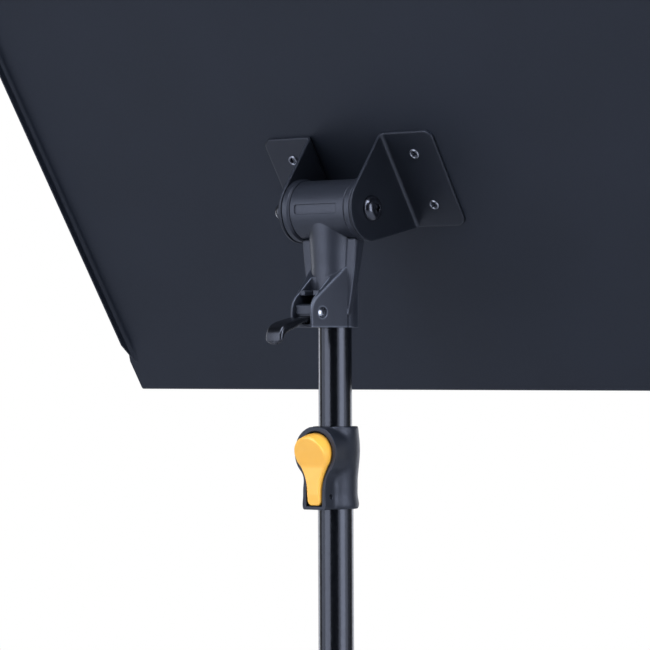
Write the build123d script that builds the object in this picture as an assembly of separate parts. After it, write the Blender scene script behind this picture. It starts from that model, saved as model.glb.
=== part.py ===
from build123d import *
import os
from math import sqrt

# Frame: origin on the floor under the tube axis, +Z up, +X to the right seen from behind the desk,
# +Y towards the reader. All sizes in millimetres.

# Column
tilt_axis_z = 800.0
lower_tube_r = 11.0
lower_tube_wall = 0.58
upper_tube_r = 10.36
upper_tube_wall = 1.0
slip = 0.06

# Desk, drawn upright about the tilt axis and then leaned back
desk_lean = 33.7
desk_half_w = 260.0
desk_tab_half_w = 264.5
desk_top = 191.0
desk_bottom = -160.3
desk_back = 35.8
sheet = 1.2
rim_depth = 5.8
rim_bend_r = 3.4
rim_end = -119.0
tab_top = -137.0
desk_corner_r = 26.0
ledge_depth = 55.0
ledge_lip = 12.0
ledge_bend_r = 1.4

# Desk brackets
plate_in = 26.8
plate_t = 1.6
bracket_edge = 65.7
bracket_top = 32.8
bracket_bottom = -35.0
bracket_eye_r = 20.0
bracket_bend_r = 2.0
bracket_corner_r = 6.0
rivet_x = 47.7
rivet_ups = (17.3, -19.2)
rivet_r = 2.6
rivet_bore_r = 2.1
rivet_head_r = 3.35

# Tilter neck
barrel_r = 18.4
barrel_half = 21.3
disc_r = 19.6
disc_out = 26.6
sleeve_r = 7.0
bolt_r = 4.0
bolt_head_r = 7.95
bolt_head_h = 4.9
column_top_r = 16.3
column_r = 14.4
column_taper = (-8.0, -34.0)
neck_bottom = -72.7
socket_top = -33.0
cheek_front = -33.3
cheek_half = 8.4
cheek_root_y = -5.5
cheek_root_half = 13.9
brow_z = (-30.6, -57.6)
brow_r = 12.0
clevis_half = 6.9
clevis_floor = 2.0
lever_pin_y = -24.7
lever_pin_z = -63.7
lever_pin_r = 3.0
lever_pin_half = 9.4
lever_half = 6.2
lever_tip_z = -82.7
lever_tip_r = 4.0
cam_half = 6.6
cam_r = 5.4
cam_offset = 1.4

# Height clutch
clutch_z = 615.8
clutch_h = 50.6
boss_fronts = (21.4, 19.9)
boss_bend_z = (10.0, 24.0)
boss_root_half = 14.6
boss_root_y = -3.0
boss_blend = 0.7
boss_neck_r = 10.0
pad_z = 34.8
pad_boss_r = 16.2
stem_boss_half = 8.6
recess_pad_r = 13.2
recess_stem_half = 6.2
recess_neck_r = 25.0
pad_r = 12.6
stem_half = 5.6
trigger_pin_y = -15.5
trigger_pin_z = 7.9
trigger_pin_r = 1.7
trigger_lean = 7.0
trigger_draft = 10.5
lower_tube_top = 20.0
lock_cavity_r = 12.7
lock_cavity_z = (22.5, 43.0)

# Foot
leg_pivot_r = 42.0
leg_reach = 258.0
leg_angles = {"leg_front": 90.0, "leg_right": -30.0, "leg_left": 210.0}
star_lobe_r = 15.0
star_hub_r = 24.0
star_plate_t = 3.0
star_low_z = 17.0
star_high_z = 43.0
socket_r = 15.5
socket_h = 24.0
leg_gap = 0.3
knuckle_r = 13.5
leg_tip_half = 9.5
leg_tip_z = (8.0, 19.0)
leg_wall = 2.2
foot_r = 13.0

upright = Plane.XZ
side_on = Plane.YZ
tube_bore_r = lower_tube_r - lower_tube_wall
plug_r = upper_tube_r - upper_tube_wall
neck_place = Location((0, 0, tilt_axis_z))
desk_place = neck_place * Rot(X=desk_lean)
clutch_place = Location((0, 0, clutch_z))


def rod(r, z0, z1):
    return Pos(0, 0, z0) * extrude(Circle(r), z1 - z0)


def ring(r_out, r_in, z0, z1):
    return Pos(0, 0, z0) * extrude(Circle(r_out) - Circle(r_in), z1 - z0)


def cross_rod(r, x0, x1, y=0.0, z=0.0):
    """A rod along X between x0 and x1."""
    return Pos(x0, y, z) * Rot(Y=90) * extrude(Circle(r), x1 - x0)


def block(x0, x1, y0, y1, z0, z1):
    """A box between two corners."""
    corner = (Align.MIN, Align.MIN, Align.MIN)
    return Pos(x0, y0, z0) * Box(x1 - x0, y1 - y0, z1 - z0, align=corner)


def side_slab(face, half):
    """A side outline, drawn in Y and Z, as a slab of this half width about X = 0."""
    return Pos(-half, 0, 0) * extrude(side_on * face, 2 * half)


def strip(points, bend_r, thickness):
    """The section of a folded sheet: a line of runs and bends, thickened on its left."""
    line = FilletPolyline(*points, radius=bend_r)
    return make_face(offset(line, amount=thickness, side=Side.LEFT))


def keyhole(pad_radius, stem_half_w, foot_z, neck_r):
    """A round pad over a straight stem, with the two drawn together by neck_r arcs."""
    stem_h = pad_z - foot_z
    shape = Pos(0, pad_z) * Circle(pad_radius)
    shape += Pos(0, foot_z + stem_h / 2) * Rectangle(2 * stem_half_w, stem_h)
    corners = shape.vertices().filter_by(lambda v: foot_z + 1 < v.Y < pad_z)
    return fillet(corners, neck_r)


def star(hole_r):
    """The foot's three-armed plate: one arm for each leg, drawn in at the crotches."""
    shape = Circle(star_hub_r)
    for angle in leg_angles.values():
        arm = Pos(leg_pivot_r / 2, 0) * Rectangle(leg_pivot_r, 2 * star_lobe_r)
        arm += Pos(leg_pivot_r, 0) * Circle(star_lobe_r)
        shape += Rot(Z=angle) * arm
    crotches = shape.vertices().filter_by(lambda v: v.center().length < star_hub_r + 1)
    shape = fillet(crotches, 6.0)
    shape -= Circle(hole_r)
    for angle in leg_angles.values():
        shape -= Rot(Z=angle) * Pos(leg_pivot_r, 0) * Circle(bolt_r)
    return shape


def desk_panel():
    """One pressed sheet: a flat panel with a rim turned back along its sides and top, and a ledge."""
    front = desk_back + sheet
    height = desk_top - tab_top
    outline = Pos(0, tab_top + height / 2) * Rectangle(2 * desk_half_w, height)
    outline = fillet(outline.vertices().group_by(Axis.Y)[-1], desk_corner_r)
    tray = Pos(0, front, 0) * extrude(upright * outline, rim_depth + sheet)
    hollow_outline = Pos(0, tab_top + height / 2 - sheet) * Rectangle(2 * (desk_half_w - sheet), height)
    hollow_outline = fillet(hollow_outline.vertices().group_by(Axis.Y)[-1], desk_corner_r - sheet)
    hollow = Pos(0, desk_back, 0) * extrude(upright * hollow_outline, 2 * rim_depth)
    tray = fillet(tray.edges().group_by(Axis.Y)[-1].filter_by(lambda e: e.center().Z > tab_top + 1), rim_bend_r)
    hollow_edges = hollow.edges().group_by(Axis.Y)[-1].filter_by(lambda e: e.center().Z > tab_top + 1)
    hollow = fillet(hollow_edges, rim_bend_r - sheet)
    rim_back = desk_back - rim_depth
    low = tab_top - 1
    run_out = [(desk_back, tab_top), (rim_back, rim_end), (rim_back - 1, rim_end), (rim_back - 1, low), (desk_back, low)]
    panel = tray - hollow - side_slab(make_face(Polyline(*run_out, close=True)), desk_half_w + 1)
    panel -= block(-desk_half_w - 1, desk_half_w + 1, desk_back - 20, front + 1, tab_top - 20, tab_top)
    ledge_line = [
        (front, tab_top), (front, desk_bottom + sheet), (front + ledge_depth, desk_bottom + sheet),
        (front + ledge_depth, desk_bottom + sheet + ledge_lip),
    ]
    ledge = side_slab(strip(ledge_line[::-1], ledge_bend_r, sheet), desk_tab_half_w)
    root_x = desk_half_w - rim_bend_r
    flare = make_face(Polyline(
        (root_x, rim_end - 2), (desk_half_w, rim_end - 2), (desk_tab_half_w, tab_top + 1), (desk_tab_half_w, low),
        (root_x, low), close=True,
    ))
    flare = Pos(0, front, 0) * extrude(upright * flare, sheet)
    panel += ledge + flare + mirror(flare, Plane.YZ)
    for x in (-rivet_x, rivet_x):
        for up in rivet_ups:
            panel -= Pos(x, front + 1, up) * extrude(upright * Circle(rivet_r), 5)
    return panel


def bracket():
    """The right bracket: a side plate with a round eye at the tilt axis, folded to a riveted flange."""
    fold = [(bracket_edge, desk_back), (plate_in, desk_back), (plate_in, -30)]
    angle = extrude(strip(fold, bracket_bend_r + plate_t, plate_t), bracket_top - bracket_bottom)
    angle = Pos(0, 0, bracket_bottom) * angle
    eye = Circle(bracket_eye_r).edges()
    fold_h = bracket_top - bracket_bottom
    root = Pos(desk_back + 0.1, bracket_bottom + fold_h / 2) * Rectangle(4, fold_h)
    keep = extrude(side_on * make_hull(eye + root.edges()), plate_in + 10)
    flange_h = Pos((bracket_edge + plate_in) / 2, bracket_bottom + fold_h / 2)
    flange = flange_h * Rectangle(bracket_edge - plate_in, fold_h)
    flange = fillet(flange.vertices().group_by(Axis.X)[-1], bracket_corner_r)
    keep += Pos(0, desk_back + 1, 0) * extrude(upright * flange, plate_t + 1.2)
    plate = angle & keep
    plate -= cross_rod(bolt_r, plate_in - 1, plate_in + 5)
    for up in rivet_ups:
        plate -= Pos(rivet_x, desk_back + 1, up) * extrude(upright * Circle(rivet_r), 5)
    return plate


def at_rivets(one):
    """One fastener at each of the four rivet holes, two for each bracket."""
    return [Pos(x, desk_back, up) * one for x in (-rivet_x, rivet_x) for up in rivet_ups]


def rivets():
    """Four blind rivets: a rolled ring behind each bracket flange and a low head on the reading side."""
    back = -(plate_t + 1.0)
    front = sheet + 0.7
    section = Polyline(
        (rivet_bore_r, back + 0.4), (rivet_bore_r + 0.3, back), (rivet_head_r - 0.4, back),
        (rivet_head_r, back + 0.5), (rivet_head_r, -plate_t), (rivet_r, -plate_t), (rivet_r, sheet),
        (rivet_head_r, sheet), (rivet_head_r - 0.6, front), (0, front), (0, sheet - 0.3),
        (rivet_bore_r, sheet - 0.3), close=True,
    )
    return at_rivets(revolve(make_face(section), Axis.Y))


def rivet_mandrels():
    """The stems that stay in the rivets, broken off short of the rings."""
    stem = Pos(0, sheet - 0.3, 0) * extrude(upright * Circle(rivet_bore_r), plate_t + sheet - 0.8)
    return at_rivets(stem)


def tilt_bolt():
    """A button-head bolt along X, with a hex socket in its dome."""
    seat = plate_in + plate_t
    dome = make_face(
        Polyline((0, seat), (bolt_head_r, seat), (bolt_head_r, seat + 1.1))
        + ThreePointArc((bolt_head_r, seat + 1.1), (6.7, seat + 3.6), (3.8, seat + bolt_head_h))
        + Polyline((3.8, seat + bolt_head_h), (0, seat + bolt_head_h), (0, seat))
    )
    head = Rot(Y=90) * revolve(Plane.XZ * dome, Axis.Z)
    hex_socket = Pos(seat + 2.4, 0, 0) * Rot(Y=90) * extrude(RegularPolygon(3.1, 6), 6)
    shank = chamfer(cross_rod(bolt_r, -42.0, seat + 1).faces().sort_by(Axis.X)[0].edges(), 0.8)
    return head + shank - hex_socket


def cap_nut(seat):
    """A domed cap nut facing -X: a hex skirt under a round dome, bored for the bolt."""
    dome_r = 6.4
    dome = Pos(-seat - 8.0, 0, 0) * Sphere(dome_r)
    skirt = Pos(-seat - 6.5, 0, 0) * Rot(Y=90) * extrude(RegularPolygon(7.4, 6), 6.5)
    neck = cross_rod(dome_r, -seat - 8.0, -seat - 6)
    return dome + skirt + neck - cross_rod(bolt_r, -42.2, -seat)


def disc_springs(seat):
    """Two cone washers face to face under the cap nut."""
    section = Polyline((4.2, 0.7), (4.2, 1.4), (8.6, 0.9), (8.6, 0.0), close=True)
    cone = revolve(Plane.XZ * make_face(section), Axis.Z)
    outer = Pos(-seat, 0, 0) * Rot(Y=-90) * cone
    inner = Pos(-seat - 2.8, 0, 0) * Rot(Y=90) * cone
    return [outer, inner]


def neck():
    """The tilter moulding: a cross barrel on a tapered column, with side gussets and a lever clevis."""
    barrel = cross_rod(barrel_r, -barrel_half, barrel_half)
    barrel = chamfer(barrel.edges(), 0.6)
    taper_top, taper_end = column_taper
    column = Pos(0, 0, taper_end) * extrude(Circle(column_r), neck_bottom - taper_end)
    column += Pos(0, 0, (taper_top + taper_end) / 2) * Cone(column_r, column_top_r, taper_top - taper_end)
    gusset = Polyline((0, -10), (21.2, -10), (21.2, -19.3), (13.2, -62), (0, -62), close=True)
    gusset = make_face(gusset) + mirror(make_face(gusset), Plane.YZ)
    gusset = Pos(0, 2.3, 0) * extrude(upright * gusset, 6.3)
    plan = Polyline(
        (-cheek_root_half, cheek_root_y), (-cheek_half, cheek_front), (cheek_half, cheek_front),
        (cheek_root_half, cheek_root_y), close=True,
    )
    cheeks = Pos(0, 0, neck_bottom) * extrude(make_face(plan), 50)
    brow_top, brow_corner = brow_z
    brow = FilletPolyline((0, brow_top), (cheek_front, brow_corner), (cheek_front, neck_bottom), radius=brow_r)
    brow += Polyline((cheek_front, neck_bottom), (0, neck_bottom), (0, brow_top))
    cheeks = cheeks & side_slab(make_face(brow), 30)
    brow_edges = cheeks.edges().filter_by(lambda e: abs(e.center().X) > 7 and e.center().Y < cheek_root_y - 1)
    brow_edges = brow_edges.filter_by(lambda e: e.center().Z > neck_bottom + 1)
    cheeks = fillet(brow_edges, 1.2)
    cheeks -= block(-clevis_half, clevis_half, -60, -14, neck_bottom + clevis_floor, 0)
    flats = block(-cheek_root_half, cheek_root_half, cheek_root_y, -cheek_root_y, neck_bottom, -36.0)
    body = barrel + column + gusset + cheeks + flats
    for side in (-1, 1):
        inner, outer = sorted((side * 3.4, side * (clevis_half + 0.5)))
        body += block(inner, outer, -25.6, -13, -53.2, -50.1)
    plate = Pos(-0.9, 0, 0) * extrude(upright * RectangleRounded(32.8, 6.0, 1.4), 30)
    body -= plate & (cross_rod(barrel_r + 2, -20, 20) - cross_rod(barrel_r - 0.8, -20, 20))
    body -= cross_rod(sleeve_r, -30, 30)
    body -= rod(upper_tube_r + slip, neck_bottom - 1, socket_top)
    body -= block(-5.0, 5.0, -16, 0, -69.0, -56.0)
    body -= cross_rod(lever_pin_r, -20, 20, lever_pin_y, lever_pin_z)
    for side in (-1, 1):
        start, end = sorted((side * (lever_pin_half - 0.6), side * 20))
        body -= cross_rod(lever_pin_r + 0.5, start, end, lever_pin_y, lever_pin_z)
    return body


def friction_disc():
    """The right friction disc, bevelled down to the barrel on its inner side."""
    disc = cross_rod(disc_r, barrel_half, disc_out)
    disc = chamfer(disc.edges().group_by(Axis.X)[0], disc_r - barrel_r)
    disc = chamfer(disc.edges().filter_by(GeomType.CIRCLE).group_by(Axis.X)[-1], 0.6)
    return disc - cross_rod(sleeve_r, 0, 40)


def lever_pin():
    """A plain steel pin through both cheeks, with rounded ends."""
    pin = cross_rod(lever_pin_r, -lever_pin_half, lever_pin_half, lever_pin_y, lever_pin_z)
    return fillet(pin.edges().filter_by(GeomType.CIRCLE), 1.2)


def brake_shoe():
    """The block that the cam presses through the column wall against the upper tube."""
    shoe = block(-4.8, 4.8, -17.7, 0, -68.8, -56.2)
    shoe = chamfer(shoe.edges().filter_by(Axis.Z).group_by(Axis.Y)[0], 1.0)
    return shoe - rod(upper_tube_r + slip, -80, -40)


def lever_paddle():
    """The finger lever: a broad leaf, thick at its root, that rolls over and droops to a rounded tip."""
    crown = Spline(
        (-28.9, -64.8), (-36.0, -66.3), (-43.0, -67.6), (-49.6, -69.2), (-54.7, -71.4), (-58.2, -75.0),
        (-60.3, -79.5), (-61.2, -84.0),
    )
    belly = Spline(
        (-58.4, -84.0), (-57.4, -81.4), (-55.2, -78.4), (-52.0, -75.9), (-47.8, -73.8), (-42.0, -72.0),
        (-36.0, -70.4), (-28.9, -69.6),
    )
    outline = crown + Line((-61.2, -84.0), (-58.4, -84.0)) + belly + Line((-28.9, -69.6), (-28.9, -64.8))
    front = Pos(0, lever_tip_z / 2) * Rectangle(2 * lever_half, -lever_tip_z)
    front = fillet(front.vertices().group_by(Axis.Y)[0], lever_tip_r)
    return side_slab(make_face(outline), lever_half) & extrude(upright * front, 80)


def lever_cam():
    """The eccentric between the cheeks, with a flat brow in front and a step for the paddle."""
    eccentric = Pos(lever_pin_y + cam_offset, lever_pin_z) * Circle(cam_r)
    brow = Pos(lever_pin_y - 2.0, lever_pin_z) * RectangleRounded(6.6, 9.4, 1.0)
    cam = side_slab(make_hull(eccentric.edges() + brow.edges()), cam_half)
    cam -= block(-cam_half - 1, cam_half + 1, -40, -28.9, -80, -64.6)
    return cam - cross_rod(lever_pin_r + slip, -10, 10, lever_pin_y, lever_pin_z)


def boss_half(h):
    """Half width of the keyhole boss at height h: a straight stem, a hollow neck arc, then the round pad."""
    neck_x = stem_boss_half + boss_neck_r
    drop = sqrt((pad_boss_r + boss_neck_r) ** 2 - neck_x ** 2)
    neck_z = pad_z - drop
    if h <= neck_z:
        return stem_boss_half
    if h < pad_z - drop * pad_boss_r / (pad_boss_r + boss_neck_r):
        return neck_x - sqrt(boss_neck_r ** 2 - (h - neck_z) ** 2)
    return sqrt(pad_boss_r ** 2 - (h - pad_z) ** 2)


def boss_front(h):
    """How far the boss stands out at height h: full at the stem, and a little less round the pad."""
    low, high = boss_bend_z
    t = min(max((h - low) / (high - low), 0), 1)
    return boss_fronts[0] + (boss_fronts[1] - boss_fronts[0]) * t * t * (3 - 2 * t)


def clutch_section(h, sleeve):
    """The clutch cut level at height h: a round sleeve, and a boss that is drawn in behind its rim."""
    half = boss_half(h) - (0.7 if h in (0.0, clutch_h) else 0.0)
    front = boss_front(h)
    draw_in = (half - min(half, boss_root_half)) / (front + boss_root_y)
    right = [(half, -front)]
    for y in (-19, -16.5, -14, -12, -10, -8, -6, -4, -2, 0.5, 3.5, 7, 0.75 * sleeve, 0.9 * sleeve):
        boss = half - draw_in * (y + front) - 0.12 * max(0, y - boss_root_y + 1) ** 2
        tube = sqrt(max(sleeve ** 2 - y ** 2, 0))
        blend = boss_blend if tube else 0
        right.append(((boss + tube) / 2 + sqrt((boss - tube) ** 2 / 4 + blend ** 2), y))
    left = [(-x, y) for x, y in right]
    line = Spline(*right, (0, sleeve), *left[::-1]) + Line(left[0], right[0])
    return Pos(0, 0, h) * make_face(line)


def clutch_housing():
    """The moulded clutch: a waisted sleeve on the tube with a keyhole boss round the trigger."""
    levels = {
        0.0: 13.3, 0.8: 14.0, 7.5: 13.7, 13.0: 13.6, 17.0: 13.65, 20.0: 13.8, 22.5: 14.05, 25.5: 14.35,
        30.0: 14.8, 36.5: 15.1, 42.0: 14.85, 46.0: 14.45, 49.8: 14.0, clutch_h: 13.3,
    }
    body = loft([clutch_section(h, sleeve) for h, sleeve in levels.items()])
    recess = keyhole(recess_pad_r, recess_stem_half, 2.0, recess_neck_r)
    body -= Pos(0, -13.2, 0) * extrude(upright * recess, 20)
    body -= rod(lower_tube_r, -1, lower_tube_top)
    body -= rod(tube_bore_r, -1, clutch_h + 1)
    body -= rod(lock_cavity_r, lock_cavity_z[0], clutch_h + 1)
    body -= block(-4.6, 4.6, -20, -8, 24.0, 39.0)
    body -= cross_rod(3.1, -recess_stem_half, recess_stem_half, trigger_pin_y, trigger_pin_z)
    body -= cross_rod(trigger_pin_r, -20, 20, trigger_pin_y, trigger_pin_z)
    return body


def clutch_ring():
    """The guide ring pressed into the clutch's mouth."""
    collar = ring(lock_cavity_r, upper_tube_r + slip, lock_cavity_z[1], clutch_h - 0.6)
    return chamfer(collar.edges().group_by(Axis.Z)[-1], 0.3)


def trigger():
    """The squeeze trigger: a hollow keyhole pad, bent outwards at its neck and hinged at its foot."""
    outline = keyhole(pad_r, stem_half, 3.4, recess_neck_r)
    outline = fillet(outline.vertices().group_by(Axis.Y)[0], 3.4)
    back_y = -14.2
    rim_y = -19.0
    shell = Pos(0, back_y, 0) * extrude(upright * outline, back_y - rim_y)
    shell += Pos(0, rim_y, 0) * extrude(upright * outline, 9.0, taper=trigger_draft)
    bends = {(-20.9, 3.4): 2.5, (-21.3, 9.5): 6.0, (-19.8, 27.1): 4.0}
    side = make_face(Polyline((-10, 3.4), *bends, (-25.0, 48), (-10, 48), close=True))
    for corner, bend_r in bends.items():
        side = fillet(side.vertices().sort_by_distance(corner)[0], bend_r)
    shell = shell & side_slab(side, 20)
    inner = offset(outline, amount=-1.8)
    shell -= Pos(0, back_y + 1, 0) * extrude(upright * inner, 5.2)
    shell += cross_rod(2.8, -stem_half, stem_half, trigger_pin_y, trigger_pin_z)
    shell += block(-stem_half, stem_half, rim_y, trigger_pin_y, trigger_pin_z - 3.0, trigger_pin_z + 3.0)
    shell -= cross_rod(trigger_pin_r + slip, -20, 20, trigger_pin_y, trigger_pin_z)
    pivot = Location((0, trigger_pin_y, trigger_pin_z))
    return pivot * Rot(X=trigger_lean) * pivot.inverse() * shell


def trigger_pin():
    """The steel pin under the trigger, short of both faces of the boss."""
    half = stem_boss_half - 2.6
    return cross_rod(trigger_pin_r, -half, half, trigger_pin_y, trigger_pin_z)


def trigger_spring():
    """A bent leaf between the clutch wall and the back of the trigger."""
    return side_slab(strip([(-13.2, 11.5), (-13.2, 22.5), (-18.4, 14.5)], 1.0, 0.4), 2.4)


def lock_plates():
    """Two canted steel plates that bite on the upper tube, each with a tongue behind the trigger."""
    plate = Circle(12.2) + Pos(0, -11.0) * Rectangle(8.0, 10.0)
    plate -= Circle(upper_tube_r + 0.35)
    slab = extrude(plate, 1.8)
    hinge = Location((0, 12.0, 0))
    canted = hinge * Rot(X=3.5) * hinge.inverse() * slab
    return [Pos(0, 0, z) * canted for z in (28.0, 32.0)]


def leg():
    """One leg along +X from its pivot: a knuckle, and a tapered arm of inverted channel section."""
    low = star_low_z + star_plate_t + leg_gap
    high = star_high_z - leg_gap
    root_x = 18.0
    knuckle = make_hull(Circle(knuckle_r).edges() + (Pos(root_x - 2, 0) * Rectangle(4, 2 * knuckle_r)).edges())
    body = Pos(0, 0, low) * extrude(knuckle, high - low)

    def section(x, half, z0, z1, corner):
        frame = Plane(origin=(x, 0, (z0 + z1) / 2), x_dir=(0, 1, 0), z_dir=(1, 0, 0))
        return frame * RectangleRounded(2 * half, z1 - z0, corner)

    tip_low, tip_high = leg_tip_z
    root = section(root_x, knuckle_r, low, high, 3)
    body += loft([root, section(leg_reach, leg_tip_half, tip_low, tip_high, 3)])
    body += Pos(leg_reach, 0, tip_low) * extrude(Circle(foot_r), tip_high - tip_low)
    groove_end = leg_reach - foot_r - 4
    channel = loft([
        section(root_x + 6, knuckle_r - leg_wall, low - 30, high - 1 - leg_wall, 2),
        section(groove_end, leg_tip_half - leg_wall, tip_low - 20, tip_high + 0.4 - leg_wall, 2),
    ])
    body -= channel
    top_edge = body.faces().sort_by(Axis.Z)[-1].edges()
    body = chamfer(top_edge.filter_by(lambda e: e.center().X < root_x - 1), 0.8)
    body -= rod(bolt_r + slip, 0, 80)
    return body - Pos(leg_reach, 0, 0) * rod(4.0, 0, tip_low + 6)


def foot():
    """A rubber foot with a stud pressed into the leg's tip."""
    section = make_face(Polyline(
        (0, 0), (foot_r - 2.0, 0), (foot_r - 0.6, 1.2), (foot_r, 7.0), (foot_r, leg_tip_z[0]),
        (4.0, leg_tip_z[0]), (4.0, leg_tip_z[0] + 5.5), (0, leg_tip_z[0] + 5.5), close=True,
    ))
    return Pos(leg_reach, 0, 0) * revolve(Plane.XZ * section, Axis.Z)


def at_leg(name):
    """Where a leg's own frame stands on the foot."""
    return Rot(Z=leg_angles[name]) * Pos(leg_pivot_r, 0, 0)


def leg_bolts():
    """One pivot bolt for each leg, with a low round head."""
    head_z = star_high_z + star_plate_t
    section = make_face(Polyline(
        (0, star_low_z - 6.0), (bolt_r - 0.5, star_low_z - 6.0), (bolt_r, star_low_z - 5.5), (bolt_r, head_z),
        (8.0, head_z), (8.0, head_z + 1.4), (5.0, head_z + 4.2), (0, head_z + 4.2), close=True,
    ))
    bolt = revolve(Plane.XZ * section, Axis.Z)
    bolt -= Pos(0, 0, head_z + 1.8) * extrude(RegularPolygon(2.9, 6), 5)
    return [at_leg(name) * bolt for name in leg_angles]


def leg_nuts():
    nut = Pos(0, 0, star_low_z - 5.0) * extrude(RegularPolygon(7.2, 6) - Circle(bolt_r), 5.0)
    nut = chamfer(nut.edges().group_by(Axis.Z)[0].filter_by(GeomType.LINE), 0.5)
    return [at_leg(name) * nut for name in leg_angles]


def hub_cover():
    """The moulded cone over the middle of the foot."""
    z0 = star_high_z + star_plate_t
    section = make_face(
        Polyline((lower_tube_r + 0.2, z0 + 27.0), (17.2, z0 + 27.0))
        + ThreePointArc((17.2, z0 + 27.0), (21.0, z0 + 10.5), (33.0, z0 + 2.5))
        + Polyline((33.0, z0 + 2.5), (33.0, z0), (socket_r + 0.2, z0), (socket_r + 0.2, z0 + socket_h + 0.2))
        + Polyline((socket_r + 0.2, z0 + socket_h + 0.2), (lower_tube_r + 0.2, z0 + socket_h + 0.2))
        + Line((lower_tube_r + 0.2, z0 + socket_h + 0.2), (lower_tube_r + 0.2, z0 + 27.0))
    )
    return revolve(Plane.XZ * section, Axis.Z)


def base_bolt():
    """The hex bolt that draws the lower tube down into its socket."""
    head = Pos(0, 0, star_low_z - 7.5) * extrude(RegularPolygon(7.5, 6), 5.5)
    return head + rod(bolt_r, star_low_z - 3, tube_foot_z + 12)


tube_foot_z = star_low_z + star_plate_t
glide_z = 140.0
tube_top_z = tilt_axis_z + socket_top - 2.0
socket_top_z = star_high_z + star_plate_t + socket_h

nodes = {
    "desk_panel": desk_place * desk_panel(),
    "bracket_right": desk_place * bracket(),
    "bracket_left": desk_place * mirror(bracket(), Plane.YZ),
    "bracket_rivets": [desk_place * one for one in rivets()],
    "rivet_mandrels": [desk_place * one for one in rivet_mandrels()],
    "tilt_bolt": desk_place * tilt_bolt(),
    "cap_nut": desk_place * cap_nut(plate_in + plate_t + 2.8),
    "disc_springs": [desk_place * one for one in disc_springs(plate_in + plate_t)],
    "neck_moulding": neck_place * neck(),
    "friction_disc_right": neck_place * friction_disc(),
    "friction_disc_left": neck_place * mirror(friction_disc(), Plane.YZ),
    "barrel_sleeve": neck_place
    * (cross_rod(sleeve_r, -disc_out, disc_out) - cross_rod(bolt_r + slip, -disc_out, disc_out)),
    "lever_pin": neck_place * lever_pin(),
    "brake_shoe": neck_place * brake_shoe(),
    "lever_paddle": neck_place * lever_paddle(),
    "lever_cam": neck_place * lever_cam(),
    "upper_tube": ring(upper_tube_r, plug_r, glide_z, tube_top_z),
    "tube_top_plug": rod(plug_r, tube_top_z - 14, tube_top_z) + rod(upper_tube_r, tube_top_z, tube_top_z + 1.6),
    "end_glide": rod(tube_bore_r - slip, glide_z - 14, glide_z - 0.1)
    + rod(plug_r - slip, glide_z - 1, glide_z + 25),
    "lower_tube": ring(lower_tube_r, tube_bore_r, tube_foot_z, clutch_z + lower_tube_top),
    "clutch_housing": clutch_place * clutch_housing(),
    "clutch_ring": clutch_place * clutch_ring(),
    "trigger": clutch_place * trigger(),
    "trigger_pin": clutch_place * trigger_pin(),
    "trigger_spring": clutch_place * trigger_spring(),
    "lock_plates": [clutch_place * one for one in lock_plates()],
    "star_plate_lower": Pos(0, 0, star_low_z) * extrude(star(bolt_r), star_plate_t),
    "star_plate_upper": Pos(0, 0, star_high_z) * extrude(star(socket_r), star_plate_t),
    "tube_socket": ring(socket_r, lower_tube_r, star_low_z + star_plate_t, socket_top_z),
    "tube_foot_plug": ring(tube_bore_r, bolt_r, tube_foot_z, tube_foot_z + 14),
    "base_bolt": base_bolt(),
    "base_washer": ring(10.0, bolt_r, star_low_z - 2.0, star_low_z),
    "hub_cover": hub_cover(),
    "leg_bolts": leg_bolts(),
    "leg_nuts": leg_nuts(),
}
for name in leg_angles:
    nodes[name] = at_leg(name) * leg()
    nodes[name.replace("leg", "foot")] = at_leg(name) * foot()

os.makedirs("parts", exist_ok=True)
for name, shape in nodes.items():
    solids = shape if isinstance(shape, list) else shape.solids()
    export_step(Compound(children=list(solids)), f"parts/{name}.step")
print(len(nodes), "nodes")
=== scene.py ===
import math

import bmesh
import bpy
import numpy as np
from mathutils import Matrix, Vector


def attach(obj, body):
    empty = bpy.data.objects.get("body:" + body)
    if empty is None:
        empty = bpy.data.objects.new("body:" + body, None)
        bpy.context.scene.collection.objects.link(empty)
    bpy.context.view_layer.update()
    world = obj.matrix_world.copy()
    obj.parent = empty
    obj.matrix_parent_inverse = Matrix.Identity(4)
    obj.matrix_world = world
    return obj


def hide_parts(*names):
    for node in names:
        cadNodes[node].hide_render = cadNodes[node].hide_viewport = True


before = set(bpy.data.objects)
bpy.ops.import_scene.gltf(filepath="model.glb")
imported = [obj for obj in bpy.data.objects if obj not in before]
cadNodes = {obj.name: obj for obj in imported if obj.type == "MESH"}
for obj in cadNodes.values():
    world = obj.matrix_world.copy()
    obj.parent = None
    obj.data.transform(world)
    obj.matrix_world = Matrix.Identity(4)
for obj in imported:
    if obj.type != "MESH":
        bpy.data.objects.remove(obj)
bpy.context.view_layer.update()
print("frame loaded:", len(cadNodes), "nodes")


# sRGB hex to the linear colour that shaders take: a straight foot, then a power of 2.4
def linear(hexColour):
    raw = np.array([int(hexColour[i:i + 2], 16) for i in (1, 3, 5)]) / 255.0
    lin = np.where(raw <= 0.04045, raw / 12.92, ((raw + 0.055) / 1.055) ** 2.4)
    return (*[float(c) for c in lin], 1.0)


# one node with its settings and its incoming links; a setting is a property or an unlinked socket
def addNode(tree, kind, settings=None, links=None):
    node = tree.nodes.new(kind)
    for key, value in (settings or {}).items():
        if isinstance(key, int) or key in node.inputs:
            node.inputs[key].default_value = value
        else:
            setattr(node, key, value)
    for key, socket in (links or {}).items():
        tree.links.new(socket, node.inputs[key])
    return node


# an empty material with its shader and the piece's own coordinates and normals, in metres
def startMaterial(name):
    material = bpy.data.materials.new(name)
    material.use_nodes = True
    tree = material.node_tree
    tree.nodes.clear()
    output = addNode(tree, "ShaderNodeOutputMaterial")
    shader = addNode(tree, "ShaderNodeBsdfPrincipled")
    tree.links.new(shader.outputs["BSDF"], output.inputs["Surface"])
    return material, tree, shader, addNode(tree, "ShaderNodeTexCoord").outputs


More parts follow.
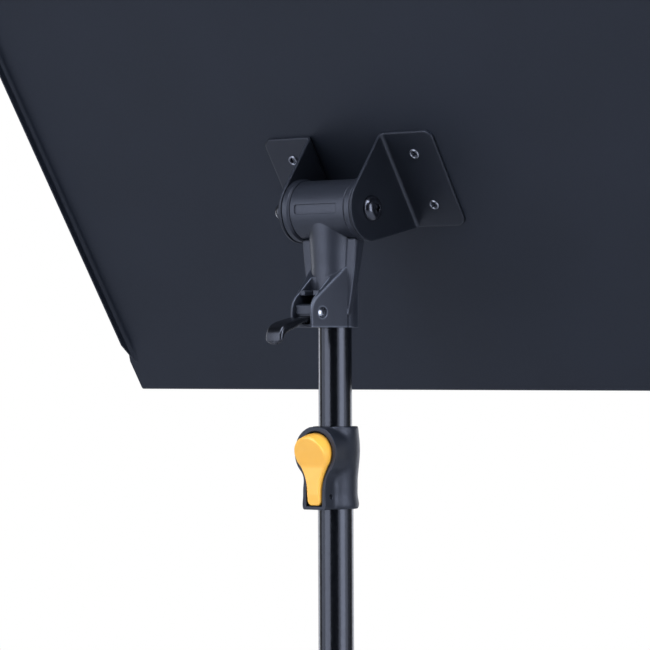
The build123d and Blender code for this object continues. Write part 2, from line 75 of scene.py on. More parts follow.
# texture scale for a grain of this many millimetres
def perMm(mm):
    return 1000.0 / mm


# what all finishes share: the span that holds most of a noise texture's values, the noises' octaves, the height of
# a grain as a share of its width, the depth of a drawn scratch, the faint blue of every coat's glint, and the
# samples taken at edges and inside
finish = {"noiseLow": 0.3, "noiseHigh": 0.7, "mottleDetail": 4.0, "grainDetail": 2.0, "drawnDetail": 3.0,
          "grainRise": 0.15, "scratchMm": 0.02, "glint": "#eef2ff", "edgeSamples": 6, "insideSamples": 8}

# painted highlight along edges: where the piece is thin, and most on the side facing above, behind and right,
# edges are painted paler and made smoother
edgeGlossAndPaintedHighlight = {"side": (0.6, -0.45, 0.66), "thinFrom": 0.95, "thinFull": 0.65, "facingFrom": 0.55, "facingFull": 0.98}


# a coated or moulded surface: mottled colour, grain in the bump, uneven gloss, edges softened as if rounded, and a
# painted highlight along the edges on one side
def coatedMaterial(name, look):
    material, tree, shader, own = startMaterial(name)
    place = own["Object"]
    mottle = addNode(tree, "ShaderNodeTexNoise", {
        "Scale": perMm(look["mottleMm"]), "Detail": finish["mottleDetail"]}, {"Vector": place})
    tint = addNode(tree, "ShaderNodeValToRGB", links={"Fac": mottle.outputs["Fac"]})
    for stop, position, shade in zip(tint.color_ramp.elements, (finish["noiseLow"], finish["noiseHigh"]),
                                     (look["dark"], look["light"])):
        stop.position, stop.color = position, linear(shade)
    grain = addNode(tree, "ShaderNodeTexNoise", {
        "Scale": perMm(look["grainMm"]), "Detail": finish["grainDetail"]}, {"Vector": place})
    gloss = addNode(tree, "ShaderNodeMapRange", {
        "From Min": finish["noiseLow"], "From Max": finish["noiseHigh"],
        "To Min": look["rough"] - look["roughVary"], "To Max": look["rough"] + look["roughVary"],
    }, {"Value": grain.outputs["Fac"]})
    edge = addNode(tree, "ShaderNodeBevel", {
        "samples": finish["edgeSamples"], "Radius": look["edgeMm"] / 1000.0})
    bump = addNode(tree, "ShaderNodeBump", {
        "Strength": look["bump"], "Distance": look["grainMm"] * finish["grainRise"] / 1000.0,
    }, {"Height": grain.outputs["Fac"], "Normal": edge.outputs["Normal"]})

    # painted highlight on edges: where the inside of the piece is near its other face and the edge faces above,
    # behind and right, the colour is painted paler and the finish is smoother
    inside = addNode(tree, "ShaderNodeAmbientOcclusion", {
        "samples": finish["insideSamples"], "inside": True, "only_local": True,
        "Distance": look["highlightMm"] / 1000.0})
    thin = addNode(tree, "ShaderNodeMapRange", {
        "From Min": edgeGlossAndPaintedHighlight["thinFrom"], "From Max": edgeGlossAndPaintedHighlight["thinFull"]}, {"Value": inside.outputs["AO"]})
    facing = addNode(tree, "ShaderNodeVectorMath", {
        "operation": "DOT_PRODUCT", 1: edgeGlossAndPaintedHighlight["side"]}, {0: own["Normal"]})
    highlightFacing = addNode(tree, "ShaderNodeMapRange", {
        "From Min": edgeGlossAndPaintedHighlight["facingFrom"], "From Max": edgeGlossAndPaintedHighlight["facingFull"]}, {"Value": facing.outputs["Value"]})
    paintedHighlight = addNode(tree, "ShaderNodeMath", {"operation": "MULTIPLY"},
                     {0: thin.outputs["Result"], 1: highlightFacing.outputs["Result"]})
    if "highlightAt" in look:
        # the painted highlight only this near to a given point on the neck, by the lever pin and the clevis's
        # brows
        away = addNode(tree, "ShaderNodeVectorMath", {"operation": "DISTANCE", 1: look["highlightAt"]}, {0: place})
        reach = addNode(tree, "ShaderNodeMapRange", {
            "From Min": look["highlightEnd"], "From Max": look["highlightFull"]}, {"Value": away.outputs["Value"]})
        paintedHighlight = addNode(tree, "ShaderNodeMath", {"operation": "MULTIPLY"},
                         {0: paintedHighlight.outputs["Value"], 1: reach.outputs["Result"]})
    colour = addNode(tree, "ShaderNodeMix", {"data_type": "RGBA", 7: linear(look["paintedHighlight"])},
                     {0: paintedHighlight.outputs["Value"], 6: tint.outputs["Color"]})
    smooth = addNode(tree, "ShaderNodeMix", {3: look["edgeRough"]},
                     {0: paintedHighlight.outputs["Value"], 2: gloss.outputs["Result"]})
    tree.links.new(colour.outputs[2], shader.inputs["Base Color"])
    tree.links.new(smooth.outputs[0], shader.inputs["Roughness"])
    tree.links.new(bump.outputs["Normal"], shader.inputs["Normal"])
    shader.inputs["IOR"].default_value = look["ior"]
    shader.inputs["Specular Tint"].default_value = linear(finish["glint"])
    return material


# a bare or plated metal: fine scratches, stretched the way it was drawn, in the gloss and the bump
def bareMetal(name, look):
    material, tree, shader, own = startMaterial(name)
    stretch = addNode(tree, "ShaderNodeMapping", {"Scale": look["stretch"]}, {"Vector": own["Object"]})
    drawn = addNode(tree, "ShaderNodeTexNoise", {
        "Scale": perMm(look["grainMm"]), "Detail": finish["drawnDetail"]}, {"Vector": stretch.outputs["Vector"]})
    gloss = addNode(tree, "ShaderNodeMapRange", {
        "From Min": finish["noiseLow"], "From Max": finish["noiseHigh"],
        "To Min": look["rough"] - look["roughVary"], "To Max": look["rough"] + look["roughVary"],
    }, {"Value": drawn.outputs["Fac"]})
    edge = addNode(tree, "ShaderNodeBevel", {
        "samples": finish["edgeSamples"], "Radius": look["edgeMm"] / 1000.0})
    bump = addNode(tree, "ShaderNodeBump", {
        "Strength": look["bump"], "Distance": finish["scratchMm"] / 1000.0,
    }, {"Height": drawn.outputs["Fac"], "Normal": edge.outputs["Normal"]})
    shader.inputs["Base Color"].default_value = linear(look["colour"])
    shader.inputs["Metallic"].default_value = 1.0
    tree.links.new(gloss.outputs["Result"], shader.inputs["Roughness"])
    tree.links.new(bump.outputs["Normal"], shader.inputs["Normal"])
    return material


# puts a material on CAD nodes, and hands it on for the new pieces
def dress(material, *names):
    for name in names:
        cadNodes[name].data.materials.clear()
        cadNodes[name].data.materials.append(material)
    return material


mergeGap = 2e-6  # metres; points nearer than this become one


# rows of points in millimetres, each closed round and joined to the next; a row drawn together closes an end
def skinPiece(name, rows, material):
    index = np.arange(rows.shape[0] * rows.shape[1]).reshape(rows.shape[:2])
    onward = np.roll(index, -1, 1)
    quads = np.stack([index[:-1], onward[:-1], onward[1:], index[1:]], -1).reshape(-1, 4)
    mesh = bpy.data.meshes.new(name)
    mesh.from_pydata((rows.reshape(-1, 3) / 1000.0).tolist(), [], quads.tolist())
    skin = bmesh.new()
    skin.from_mesh(mesh)
    bmesh.ops.remove_doubles(skin, verts=skin.verts, dist=mergeGap)
    bmesh.ops.recalc_face_normals(skin, faces=skin.faces)
    skin.to_mesh(mesh)
    skin.free()
    mesh.polygons.foreach_set("use_smooth", np.ones(len(mesh.polygons), dtype=bool))
    mesh.materials.append(material)
    piece = bpy.data.objects.new(name, mesh)
    bpy.context.scene.collection.objects.link(piece)
    return piece


# In each look below, the paler edge colour is a painted highlight on edges that face above, behind and right.
# Grains below about a millimetre don't show at this distance. Pebble, spark, mould and scratch marks are a few
# tenths of a millimetre on the real pieces, and each grainMm below is drawn as coarse as it needs to show.

# powder-coated steel sheet: matt, faintly pebbled, a blue-black that greys where light grazes it
deskLook = {"dark": "#12161c", "light": "#151920", "mottleMm": 70, "grainMm": 1.1, "rough": 0.46,
            "roughVary": 0.05, "bump": 0.05, "edgeMm": 0.5, "ior": 1.42, "highlightMm": 0.7, "paintedHighlight": "#232833",
            "edgeRough": 0.4}
dress(coatedMaterial("powder_coated_steel_sheet", deskLook), "desk_panel")

# satin-painted pressed steel: smoother and blacker than the desk, with paint drawn round its cut edges
bracketLook = {"dark": "#101318", "light": "#14171c", "mottleMm": 30, "grainMm": 0.9, "rough": 0.36,
               "roughVary": 0.05, "bump": 0.08, "edgeMm": 1.8, "ior": 1.5, "highlightMm": 0.9, "paintedHighlight": "#3a3f49",
               "edgeRough": 0.3}
dress(coatedMaterial("satin_painted_pressed_steel", bracketLook), "bracket_right", "bracket_left")

# enamelled drawn tube: near gloss, with the faint waviness of sprayed enamel
tubeLook = {"dark": "#040506", "light": "#060709", "mottleMm": 25, "grainMm": 2.2, "rough": 0.2,
            "roughVary": 0.04, "bump": 0.05, "edgeMm": 0.3, "ior": 1.57, "highlightMm": 0.4, "paintedHighlight": "#0a0b0d",
            "edgeRough": 0.2}
dress(coatedMaterial("enamelled_drawn_steel_tube", tubeLook), "upper_tube", "lower_tube")

# glass-filled nylon from a spark-eroded mould: an even fine grain that scatters the highlights; near the lever its
# edges are smoother and carry a bright painted highlight
nylonLook = {"dark": "#15181e", "light": "#1b1e24", "mottleMm": 9, "grainMm": 1.0, "rough": 0.44,
             "roughVary": 0.06, "bump": 0.45, "edgeMm": 0.8, "ior": 1.57, "highlightMm": 1.3, "paintedHighlight": "#868c97",
             "edgeRough": 0.22, "highlightAt": (0.0, -0.025, 0.737), "highlightFull": 0.034, "highlightEnd": 0.046}
filledNylon = dress(coatedMaterial("glass_filled_nylon_moulding", nylonLook), "neck_moulding",
                    "friction_disc_right", "friction_disc_left")

# the same nylon from a finer mould, a little duller on the clutch and the hub
clutchLook = {"dark": "#12151a", "light": "#171a20", "mottleMm": 9, "grainMm": 1.0, "rough": 0.46,
              "roughVary": 0.06, "bump": 0.4, "edgeMm": 0.8, "ior": 1.48, "highlightMm": 0.9, "paintedHighlight": "#383d46",
              "edgeRough": 0.24}
dress(coatedMaterial("fine_moulded_nylon", clutchLook), "clutch_housing", "hub_cover")

# acetal insert pieces, plain and slightly waxy
acetalLook = {"dark": "#17181b", "light": "#1b1c20", "mottleMm": 8, "grainMm": 0.7, "rough": 0.4,
              "roughVary": 0.05, "bump": 0.1, "edgeMm": 0.3, "ior": 1.48, "highlightMm": 0.6, "paintedHighlight": "#212327",
              "edgeRough": 0.32}
dress(coatedMaterial("acetal_insert", acetalLook), "brake_shoe", "tube_top_plug", "end_glide", "clutch_ring",
      "tube_foot_plug")

# pigmented ABS, smooth from a polished mould
triggerLook = {"dark": "#f7b443", "light": "#f9ba4b", "mottleMm": 14, "grainMm": 1.4, "rough": 0.34,
               "roughVary": 0.03, "bump": 0.04, "edgeMm": 0.4, "ior": 1.5, "highlightMm": 0.8, "paintedHighlight": "#fbc25a",
               "edgeRough": 0.3}
amberAbs = dress(coatedMaterial("amber_abs_moulding", triggerLook), "trigger")

# polished black nylon of the finger lever: long clear highlights
leverLook = {"dark": "#050608", "light": "#07080a", "mottleMm": 10, "grainMm": 1.6, "rough": 0.26,
             "roughVary": 0.012, "bump": 0.008, "edgeMm": 0.4, "ior": 1.56, "highlightMm": 0.8, "paintedHighlight": "#0a0b0d",
             "edgeRough": 0.26}
blackNylon = dress(coatedMaterial("polished_black_nylon", leverLook), "lever_paddle")

# die-cast zinc, left as cast under a thin grey wash
castLook = {"dark": "#1a1d22", "light": "#202329", "mottleMm": 3, "grainMm": 0.5, "rough": 0.45,
            "roughVary": 0.08, "bump": 0.2, "edgeMm": 0.3, "ior": 1.5, "highlightMm": 0.8, "paintedHighlight": "#3a3e46",
            "edgeRough": 0.35}
dress(coatedMaterial("die_cast_zinc", castLook), "lever_cam")

# black-oxide steel of the bolts: dark, with the clear glint of its oil, and a paler painted highlight on its edges
oxideLook = {"dark": "#0b0c0f", "light": "#101115", "mottleMm": 4, "grainMm": 0.6, "rough": 0.17,
             "roughVary": 0.04, "bump": 0.05, "edgeMm": 0.3, "ior": 1.8, "highlightMm": 0.6, "paintedHighlight": "#2a2d33",
             "edgeRough": 0.2}
dress(coatedMaterial("black_oxide_steel", oxideLook), "tilt_bolt", "cap_nut", "disc_springs", "leg_bolts",
      "rivet_mandrels")

# aluminium blind rivets, dulled by the setting tool
rivetLook = {"colour": "#8e9096", "grainMm": 0.3, "stretch": (1.0, 1.0, 1.0), "rough": 0.36, "roughVary": 0.08,
             "bump": 0.05, "edgeMm": 0.2}
dress(bareMetal("aluminium_blind_rivet", rivetLook), "bracket_rivets")

# zinc-plated steel of the pins, the spring, the lock plates, the base bolt and the nuts: bright, faintly drawn
zincLook = {"colour": "#c9ccd2", "grainMm": 0.4, "stretch": (1.0, 1.0, 0.15), "rough": 0.3, "roughVary": 0.05,
            "bump": 0.02, "edgeMm": 0.2}
platedSteel = dress(bareMetal("zinc_plated_steel", zincLook), "barrel_sleeve", "lever_pin", "trigger_pin",
                    "trigger_spring", "lock_plates", "base_bolt", "base_washer", "leg_nuts")

# powder-coated pressed steel of the foot, a little greyer than the desk
legLook = {"dark": "#15171b", "light": "#1a1c21", "mottleMm": 40, "grainMm": 1.0, "rough": 0.42,
           "roughVary": 0.05, "bump": 0.1, "edgeMm": 0.6, "ior": 1.5, "highlightMm": 1.0, "paintedHighlight": "#262a31",
           "edgeRough": 0.34}
dress(coatedMaterial("powder_coated_pressed_steel", legLook), "leg_front", "leg_right", "leg_left",
      "star_plate_lower", "star_plate_upper", "tube_socket")

# moulded rubber of the feet, dull and dusty
rubberLook = {"dark": "#141415", "light": "#1b1b1c", "mottleMm": 5, "grainMm": 0.9, "rough": 0.8,
              "roughVary": 0.06, "bump": 0.2, "edgeMm": 0.6, "ior": 1.5, "highlightMm": 1.2, "paintedHighlight": "#222324",
              "edgeRough": 0.7}
dress(coatedMaterial("moulded_rubber", rubberLook), "foot_front", "foot_right", "foot_left")
print("materials done")

# Trigger: the keyhole's outline is drawn in towards its own middle line while it rises from the hollow back, over
# the wall's foot, up the drafted side, round the edge and across a face bent between the stem's and the pad's
# planes; heights are counted from the clutch's foot, and foot, shin, bend and top are (y, height) on the face
triggerShape = {"padR": 12.35, "padH": 34.8, "stemHalf": 5.35, "neckR": 25.0, "footH": 2.8, "footR": 3.2,
                "backY": -14.2, "hollowY": -19.5, "wall": 1.7, "wallShare": 0.8, "rimY": -19.0,
                "draftDeg": 10.5, "edgeR": 1.2, "bendSoft": 0.12, "footDrop": 2.0,
                "foot": (-22.1, 2.8), "shin": (-22.5, 9.5), "bend": (-21.0, 27.1), "top": (-26.2, 48.0),
                "pinY": -15.5, "pinH": 7.9, "leanDeg": 7.0, "clutchZ": 615.8,
                "padSteps": 56, "neckSteps": 28, "stemSteps": 10, "cornerSteps": 14,
                "sideSteps": 5, "edgeSteps": 9, "faceSteps": 9}


# the face's y at each height: the softened lower of the stem's and the pad's lines, then the softened higher of
# that and the foot's line, which drops away steeply above the shin
def triggerFace(shape, h):
    footLine, stemLine, padLine = (
        shape[a][0] + (shape[b][0] - shape[a][0]) * (h - shape[a][1]) / (shape[b][1] - shape[a][1])
        for a, b in (("foot", "shin"), ("shin", "bend"), ("bend", "top")))
    soft = shape["bendSoft"]
    outer = -soft * np.logaddexp(-stemLine / soft, -padLine / soft)
    footLine = footLine - shape["footDrop"] * np.maximum(h - shape["shin"][1], 0)
    return soft * np.logaddexp(outer / soft, footLine / soft)


# the keyhole as (x, height): arcs of the pad, the necks and the foot's corners joined by the stem's straight
# sides; with each point goes the spot on the middle line towards which it is drawn in
def triggerOutline(shape):
    padR, padH, stemHalf, neckR, footH, footR = (
        shape[k] for k in ("padR", "padH", "stemHalf", "neckR", "footH", "footR"))
    reach, neckX = padR + neckR, stemHalf + neckR
    drop = math.sqrt(reach ** 2 - neckX ** 2)
    meet = math.asin(drop / reach)
    neckH, cornerX, cornerH = padH - drop, stemHalf - footR, footH + footR
    pad = np.linspace(math.pi / 2, -meet, shape["padSteps"])
    neck = np.linspace(math.pi - meet, math.pi, shape["neckSteps"])
    stem = np.linspace(neckH, cornerH, shape["stemSteps"])[1:-1]
    corner = np.linspace(0.0, -math.pi / 2, shape["cornerSteps"])
    half = np.concatenate([
        np.stack([padR * np.cos(pad), padH + padR * np.sin(pad)], -1),
        np.stack([neckX + neckR * np.cos(neck), neckH + neckR * np.sin(neck)], -1)[1:],
        np.stack([np.full_like(stem, stemHalf), stem], -1),
        np.stack([cornerX + footR * np.cos(corner), cornerH + footR * np.sin(corner)], -1),
        [[cornerX / 2, footH], [0.0, footH]],
    ])
    half[0, 0] = 0.0
    joinH = padH - drop * padR / reach
    rise = np.clip((half[:, 1] - neckH) / (joinH - neckH), 0, 1)
    middle = np.maximum(half[:, 1] + (padH - joinH) * rise ** 2, footH + stemHalf)
    middle[:len(pad)] = padH
    halfHeart = np.stack([0 * middle, middle], -1)
    return np.concatenate([half, (half * (-1, 1))[-2:0:-1]]), np.concatenate([halfHeart, halfHeart[-2:0:-1]])


# rows of the trigger: how far each is drawn in, how deep it lies, then the whole leaned about the pin
def triggerRows(shape):
    outline, heart = triggerOutline(shape)
    reachIn = np.linalg.norm(heart - outline, axis=1)
    inward = (heart - outline) / reachIn[:, None]
    slope, edgeR, rimY = math.tan(math.radians(shape["draftDeg"])), shape["edgeR"], shape["rimY"]
    sideRise = np.linspace(0, 1, shape["sideSteps"])[:, None]
    edgeTurn = np.linspace(0, math.pi / 2, shape["edgeSteps"])[1:, None]
    faceIn = np.linspace(0, 1, shape["faceSteps"])[1:, None]

    shoulder = triggerFace(shape, outline[:, 1]) + edgeR
    shoulderIn = (rimY - shoulder) * slope
    edgeIn = shoulderIn + edgeR * (1 - np.cos(edgeTurn))
    lip = edgeIn[-1]
    wall = np.minimum(shape["wall"], shape["wallShare"] * reachIn)
    backIn = [reachIn, wall, wall, 0 * reachIn]
    backDepth = [np.full_like(reachIn, shape[k]) for k in ("hollowY", "hollowY", "backY", "backY")]
    insets = np.concatenate([backIn, shoulderIn * sideRise, edgeIn, lip + (reachIn - lip) * faceIn])
    flat = outline[None] + inward[None] * insets[..., None]
    face = triggerFace(shape, flat[len(backIn) + len(sideRise):, :, 1])
    depth = np.concatenate([
        backDepth, rimY + (shoulder - rimY) * sideRise,
        face[:len(edgeTurn)] + edgeR * (1 - np.sin(edgeTurn)), face[len(edgeTurn):],
    ])

    lean = math.radians(shape["leanDeg"])
    offY, offH = depth - shape["pinY"], flat[..., 1] - shape["pinH"]
    y = shape["pinY"] + offY * math.cos(lean) - offH * math.sin(lean)
    z = shape["clutchZ"] + shape["pinH"] + offY * math.sin(lean) + offH * math.cos(lean)
    return np.stack([flat[..., 0], y, z], -1)


triggerCap = skinPiece("trigger_cap", triggerRows(triggerShape), amberAbs)
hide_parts("trigger")
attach(triggerCap, "squeeze_trigger")

# Lever blade: a rounded bar section carried along a smooth curve fitted through (y, z) points down its side,
# crowned on both faces, thickest at the heel where it turns down, with round corners at the tip and a rounded end
bladeShape = {"sidePoints": ((-28.9, -67.3), (-35.3, -68.3), (-39.6, -69.0), (-43.9, -70.2), (-47.8, -71.3),
                             (-52.0, -72.6), (-55.3, -74.1), (-57.3, -75.9), (-58.1, -77.6), (-58.8, -80.0),
                             (-59.3, -82.2)),
              "thicks": (2.0, 2.0, 2.1, 2.5, 2.8, 2.9, 2.8, 2.6, 2.3, 1.6, 1.0), "degree": 6, "half": 6.3,
              "tipHalf": 3.2, "tipFrom": 0.92, "edgeR": 1.7, "edgeShare": 0.8, "crown": 0.3, "endR": 0.8,
              "tiltZ": 800.0, "steps": 200, "endSteps": 7, "cornerSteps": 9, "acrossSteps": 9}


def bladeRows(shape):
    points = np.array(shape["sidePoints"])
    run = np.concatenate([[0], np.cumsum(np.linalg.norm(np.diff(points, axis=0), axis=1))])
    fit = np.polyfit(run / run[-1], np.column_stack([points, shape["thicks"]]), shape["degree"])
    t = np.linspace(0, 1, shape["steps"])
    fitted = np.vander(t, shape["degree"] + 1) @ fit
    course, thick = fitted[:, :2], fitted[:, 2]
    heading = np.gradient(course, t, axis=0)
    heading /= np.linalg.norm(heading, axis=1)[:, None]
    tip = np.clip((t - shape["tipFrom"]) / (1 - shape["tipFrom"]), 0, 1)
    half = shape["tipHalf"] + (shape["half"] - shape["tipHalf"]) * np.sqrt(1 - tip ** 2)

    # the end is drawn in over a quarter turn, and both ends close to a point
    endTurn, endR = np.linspace(0, math.pi / 2, shape["endSteps"])[1:], shape["endR"]
    drawn, onward = endR * (1 - np.cos(endTurn)), endR * np.sin(endTurn)
    course = np.concatenate([course[:1], course, course[-1] + heading[-1] * onward[:, None],
                             (course[-1] + heading[-1] * endR)[None]])
    heading = np.concatenate([heading[:1], heading, np.repeat(heading[-1:], len(endTurn) + 1, 0)])
    half = np.concatenate([[0], half, half[-1] - drawn, [0]])[:, None]
    thick = np.concatenate([[0], thick, thick[-1] - drawn, [0]])[:, None]

    # the section goes round four corner arcs, with points across the two faces
    corner, face = np.ones(shape["cornerSteps"]), np.ones(shape["acrossSteps"])
    quarter = np.linspace(0, math.pi / 2, shape["cornerSteps"])
    across = np.linspace(1, -1, shape["acrossSteps"] + 2)[1:-1]
    turn = np.concatenate([quarter, face * math.pi / 2, quarter + math.pi / 2,
                           quarter + math.pi, face * 1.5 * math.pi, quarter + 1.5 * math.pi])
    right = np.concatenate([corner, across, -corner, -corner, -across, corner])
    upper = np.concatenate([corner, face, corner, -corner, -face, -corner])
    edgeR = np.minimum(shape["edgeR"], shape["edgeShare"] * thick)
    sideR = np.minimum(edgeR, half)
    x = right * (half - sideR) + sideR * np.cos(turn)
    out = upper * (thick - edgeR) + edgeR * np.sin(turn)
    widthShare = np.divide(x, half, out=np.zeros_like(x), where=half > 0)
    out = out - upper * shape["crown"] * widthShare ** 2
    y, z = course[:, :1] + out * heading[:, 1:], course[:, 1:] - out * heading[:, :1]
    return np.stack([x, y, shape["tiltZ"] + z], -1)


leverBlade = skinPiece("lever_blade", bladeRows(bladeShape), blackNylon)
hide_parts("lever_paddle")
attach(leverBlade, "lever")

# Lever pin: a circle carried along X, its radius falling to nothing over a spherical cap at each end
pinShape = {"r": 3.0, "shoulder": 8.3, "capDeg": 52, "y": -24.7, "z": 736.3, "around": 48, "capSteps": 14}


def pinRows(shape):
    cap = np.radians(np.linspace(0, shape["capDeg"], shape["capSteps"]))
    ballR = shape["r"] / math.sin(cap[-1])
    capX = shape["shoulder"] + ballR * (np.cos(cap) - math.cos(cap[-1]))
    x = np.concatenate([capX, [0.0], -capX[::-1]])[:, None]
    r = np.concatenate([ballR * np.sin(cap), [shape["r"]], ballR * np.sin(cap[::-1])])[:, None]
    turn = np.linspace(0, 2 * math.pi, shape["around"], endpoint=False)
    return np.stack([x + 0 * turn, shape["y"] + r * np.cos(turn), shape["z"] + r * np.sin(turn)], -1)


leverPin = skinPiece("lever_pin_domed", pinRows(pinShape), platedSteel)
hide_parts("lever_pin")
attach(leverPin, "tilter")

# Neck webs: a plate from barrel to clevis on each side of the column; its outer edge falls away from the barrel as
# a shallow parabola, its corners are rounded, and a hollow arc carries its front into the column's round
webShape = {"top": -18.0, "bottom": -65.5, "startZ": -20.0, "startX": 20.94, "fall": 0.06, "bow": 0.002,
            "inner": 9.0, "columnR": 14.35, "columnGrows": 1.9, "taper": (-34.0, -8.0), "hollowR": 2.0,
            "front": -5.55, "back": -1.5, "edgeR": 0.7, "tiltZ": 800.0,
            "steps": 32, "edgeSteps": 7, "hollowSteps": 8}


def webRows(shape, hand):
    z = np.linspace(shape["top"], shape["bottom"], shape["steps"])[:, None]
    down = np.maximum(shape["startZ"] - z, 0)
    outer = shape["startX"] - shape["fall"] * down - shape["bow"] * down ** 2
    front, back, edgeR, hollowR = (shape[k] for k in ("front", "back", "edgeR", "hollowR"))
    quarter = np.linspace(0, math.pi / 2, shape["edgeSteps"])
    roundX = np.concatenate([-edgeR + edgeR * np.sin(quarter), -edgeR + edgeR * np.cos(quarter)])
    roundY = np.concatenate([front + edgeR - edgeR * np.cos(quarter), back - edgeR + edgeR * np.sin(quarter)])

    # the hollow arc's centre lies off the front, where the arc touches both the column's round and the front
    columnR = shape["columnR"] + shape["columnGrows"] * np.interp(z, shape["taper"], (0, 1))
    hollowY = front - hollowR
    hollowX = np.sqrt((columnR + hollowR) ** 2 - hollowY ** 2)
    meet = np.arctan2(-hollowY, -hollowX)
    turn = meet + (math.pi / 2 - meet) * np.linspace(0, 1, shape["hollowSteps"])
    each = np.ones_like(z)
    x = np.concatenate([shape["inner"] * each, hollowX + hollowR * np.cos(turn), outer + roundX,
                        shape["inner"] * each], 1)
    y = np.concatenate([front * each, hollowY + hollowR * np.sin(turn), roundY * each, back * each], 1)
    rows = np.stack([hand * x, y, np.broadcast_to(shape["tiltZ"] + z, x.shape)], -1)
    first, last = (np.broadcast_to(rows[k].mean(0), rows[k].shape)[None] for k in (0, -1))
    return np.concatenate([first, rows, last])


for hand, where in ((1, "right"), (-1, "left")):
    neckWeb = skinPiece("neck_web_" + where, webRows(webShape, hand), filledNylon)
    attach(neckWeb, "tilter")
print("trigger, lever, pin and web skins done")

# Camera: from behind the desk and to its right, at about the height of the clutch
cameraLook = {"turnDeg": 38.463, "riseDeg": 0.584, "rollDeg": 0.237, "lensMm": 175.17, "sensorMm": 36.0,
              "spot": (1.20857, -1.53127, 0.70903)}
camTurn, camRise, camRoll = (math.radians(cameraLook[k]) for k in ("turnDeg", "riseDeg", "rollDeg"))
ahead = Vector((-math.sin(camTurn) * math.cos(camRise), math.cos(camTurn) * math.cos(camRise), math.sin(camRise)))
aside = Vector((math.cos(camTurn), math.sin(camTurn), 0.0))
above = aside.cross(ahead)
rightAxis = aside * math.cos(camRoll) - above * math.sin(camRoll)
upAxis = above * math.cos(camRoll) + aside * math.sin(camRoll)
cameraData = bpy.data.cameras.new("camera")
cameraData.lens = cameraLook["lensMm"]
cameraData.sensor_width = cameraLook["sensorMm"]
camera = bpy.data.objects.new("camera", cameraData)
bpy.context.scene.collection.objects.link(camera)
cameraTurn = Matrix((rightAxis, upAxis, -ahead)).transposed().to_4x4()
camera.matrix_world = Matrix.Translation(cameraLook["spot"]) @ cameraTurn
bpy.context.scene.camera = camera
print("camera done")

# Floor: a pale disc that fades, for the camera, to the white of the background towards its rim
floorLook = {"radius": 2.6, "innerShare": 0.02, "spread": 1.3, "rings": 24, "around": 96, "colour": "#cdced0",
             "rough": 0.9, "fadeFrom": 0.45, "fadeShare": 0.97}


# rings round the middle, wider apart towards the rim, with one face closing the innermost
def floorDisc(look):
    ringR = np.linspace(look["innerShare"], 1.0, look["rings"]) ** look["spread"] * look["radius"]
    around = np.linspace(0, 2 * math.pi, look["around"], endpoint=False)
    r, turn = np.meshgrid(ringR, around, indexing="ij")
    points = np.stack([r * np.cos(turn), r * np.sin(turn), np.zeros_like(r)], -1).reshape(-1, 3)
    index = np.arange(r.size).reshape(r.shape)
    onward = np.roll(index, -1, 1)
    quads = np.stack([index[:-1], index[1:], onward[1:], onward[:-1]], -1).reshape(-1, 4)
    mesh = bpy.data.meshes.new("floor")
    mesh.from_pydata(points.tolist(), [], quads.tolist() + [index[0].tolist()])
    return mesh


# matt paper, mixed into plain white by the distance from the middle where the camera looks at it
def studioPaper(look):
    material, tree, shader, own = startMaterial("studio_paper")
    shader.inputs["Base Color"].default_value = linear(look["colour"])
    shader.inputs["Roughness"].default_value = look["rough"]
    white = addNode(tree, "ShaderNodeEmission", {"Strength": 1.0})
    away = addNode(tree, "ShaderNodeVectorMath", {"operation": "LENGTH"}, {0: own["Object"]})
    fade = addNode(tree, "ShaderNodeMapRange", {
        "From Min": look["fadeFrom"], "From Max": look["radius"] * look["fadeShare"],
    }, {"Value": away.outputs["Value"]})
    seen = addNode(tree, "ShaderNodeLightPath")
    fadeSeen = addNode(tree, "ShaderNodeMath", {"operation": "MULTIPLY"},
                       {0: fade.outputs["Result"], 1: seen.outputs["Is Camera Ray"]})
    paper = addNode(tree, "ShaderNodeMixShader", links={
        0: fadeSeen.outputs["Value"], 1: shader.outputs["BSDF"], 2: white.outputs["Emission"]})
    output = next(n for n in tree.nodes if n.type == "OUTPUT_MATERIAL")
    tree.links.new(paper.outputs["Shader"], output.inputs["Surface"])
    return material


floorMesh = floorDisc(floorLook)
floor = bpy.data.objects.new("floor", floorMesh)
bpy.context.scene.collection.objects.link(floor)
floorMesh.materials.append(studioPaper(floorLook))
print("floor done")

# World: white to the camera, and to gloss and glass where they look past the stand; a dim studio to all else
worldLook = {"studio": 0.04, "studioColour": "#dfe8ff", "white": 1.0, "whiteColour": "#ffffff",
             "behindFrom": 0.4, "behindTo": 0.7}


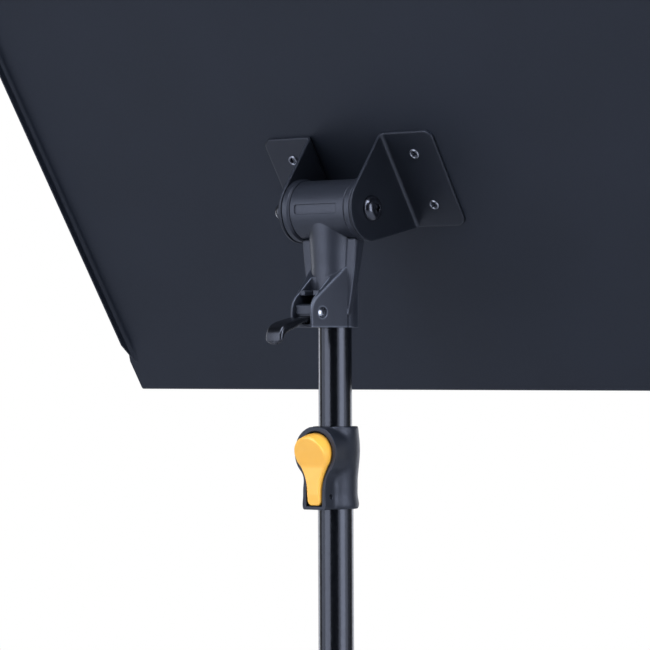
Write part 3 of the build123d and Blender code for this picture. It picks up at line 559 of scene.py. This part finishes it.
# the white's share is the larger of the camera's rays and of mirrored rays that go on behind the stand
def studioWorld(look, onward):
    world = bpy.data.worlds.new("studio")
    world.use_nodes = True
    tree = world.node_tree
    tree.nodes.clear()
    seen = addNode(tree, "ShaderNodeLightPath").outputs
    heading = addNode(tree, "ShaderNodeTexCoord").outputs["Generated"]
    towards = addNode(tree, "ShaderNodeVectorMath", {"operation": "DOT_PRODUCT", 1: tuple(onward)}, {0: heading})
    behind = addNode(tree, "ShaderNodeMapRange", {
        "interpolation_type": "SMOOTHSTEP", "From Min": look["behindFrom"], "From Max": look["behindTo"],
    }, {"Value": towards.outputs["Value"]})
    mirrored = addNode(tree, "ShaderNodeMath", {"operation": "MAXIMUM"},
                       {0: seen["Is Glossy Ray"], 1: seen["Is Transmission Ray"]})
    mirroredBehind = addNode(tree, "ShaderNodeMath", {"operation": "MULTIPLY"},
                             {0: mirrored.outputs["Value"], 1: behind.outputs["Result"]})
    whiteShare = addNode(tree, "ShaderNodeMath", {"operation": "MAXIMUM"},
                         {0: seen["Is Camera Ray"], 1: mirroredBehind.outputs["Value"]})
    dim = addNode(tree, "ShaderNodeBackground", {
        "Color": linear(look["studioColour"]), "Strength": look["studio"]})
    bright = addNode(tree, "ShaderNodeBackground", {
        "Color": linear(look["whiteColour"]), "Strength": look["white"]})
    pick = addNode(tree, "ShaderNodeMixShader", links={
        0: whiteShare.outputs["Value"], 1: dim.outputs["Background"], 2: bright.outputs["Background"]})
    addNode(tree, "ShaderNodeOutputWorld", links={"Surface": pick.outputs["Shader"]})
    return world


bpy.context.scene.world = studioWorld(worldLook, ahead)
print("world done")

# Softboxes: turns are counted from the camera's side of the stand, positive to the camera's right; sizes in metres
softboxes = {
    "left_softbox": {"turnDeg": -57, "away": 1.9, "height": 1.0, "wide": 1.4, "tall": 1.7, "watts": 27},
    "left_back_softbox": {"turnDeg": -92, "away": 1.9, "height": 0.9, "wide": 0.9, "tall": 1.5, "watts": 7},
    "high_front_softbox": {"turnDeg": -40, "away": 1.5, "height": 2.0, "wide": 1.2, "tall": 0.8, "watts": 11},
    "right_front_strip": {"turnDeg": 22, "away": 1.9, "height": 0.9, "wide": 0.4, "tall": 1.5, "watts": 3},
    "right_softbox": {"turnDeg": 45, "away": 1.9, "height": 0.9, "wide": 1.1, "tall": 1.5, "watts": 25},
    "right_high_softbox": {"turnDeg": 53, "away": 1.9, "height": 1.52, "wide": 0.5, "tall": 0.45, "watts": 9},
    "right_back_softbox": {"turnDeg": 71, "away": 1.9, "height": 0.9, "wide": 0.7, "tall": 1.5, "watts": 6},
    "right_tail_strip": {"turnDeg": 90, "away": 1.9, "height": 0.9, "wide": 0.6, "tall": 1.5, "watts": 1},
    "back_left_strip": {"turnDeg": -141, "away": 2.2, "height": 0.8, "wide": 0.6, "tall": 1.7, "watts": 7},
    "back_right_strip": {"turnDeg": 141, "away": 2.2, "height": 0.8, "wide": 0.6, "tall": 1.7, "watts": 7},
    "top_softbox": {"turnDeg": -12, "away": 0.9, "height": 2.35, "wide": 1.1, "tall": 1.0, "watts": 30},
}
lampLook = {"colour": "#e6edff", "aimedAt": (0.0, 0.0, 0.75)}
for name, box in softboxes.items():
    bearing = math.radians(cameraLook["turnDeg"] - 90 + box["turnDeg"])
    spot = Vector((math.cos(bearing) * box["away"], math.sin(bearing) * box["away"], box["height"]))
    lamp = bpy.data.lights.new(name, "AREA")
    lamp.shape = "RECTANGLE"
    lamp.size, lamp.size_y, lamp.energy = box["wide"], box["tall"], box["watts"]
    lamp.color = linear(lampLook["colour"])[:3]
    softbox = bpy.data.objects.new(name, lamp)
    bpy.context.scene.collection.objects.link(softbox)
    softbox.location = spot
    softbox.visible_camera = False
    softbox.rotation_euler = (Vector(lampLook["aimedAt"]) - spot).to_track_quat("-Z", "Y").to_euler()
print("softboxes done")

bpy.context.scene.view_settings.view_transform = "Standard"
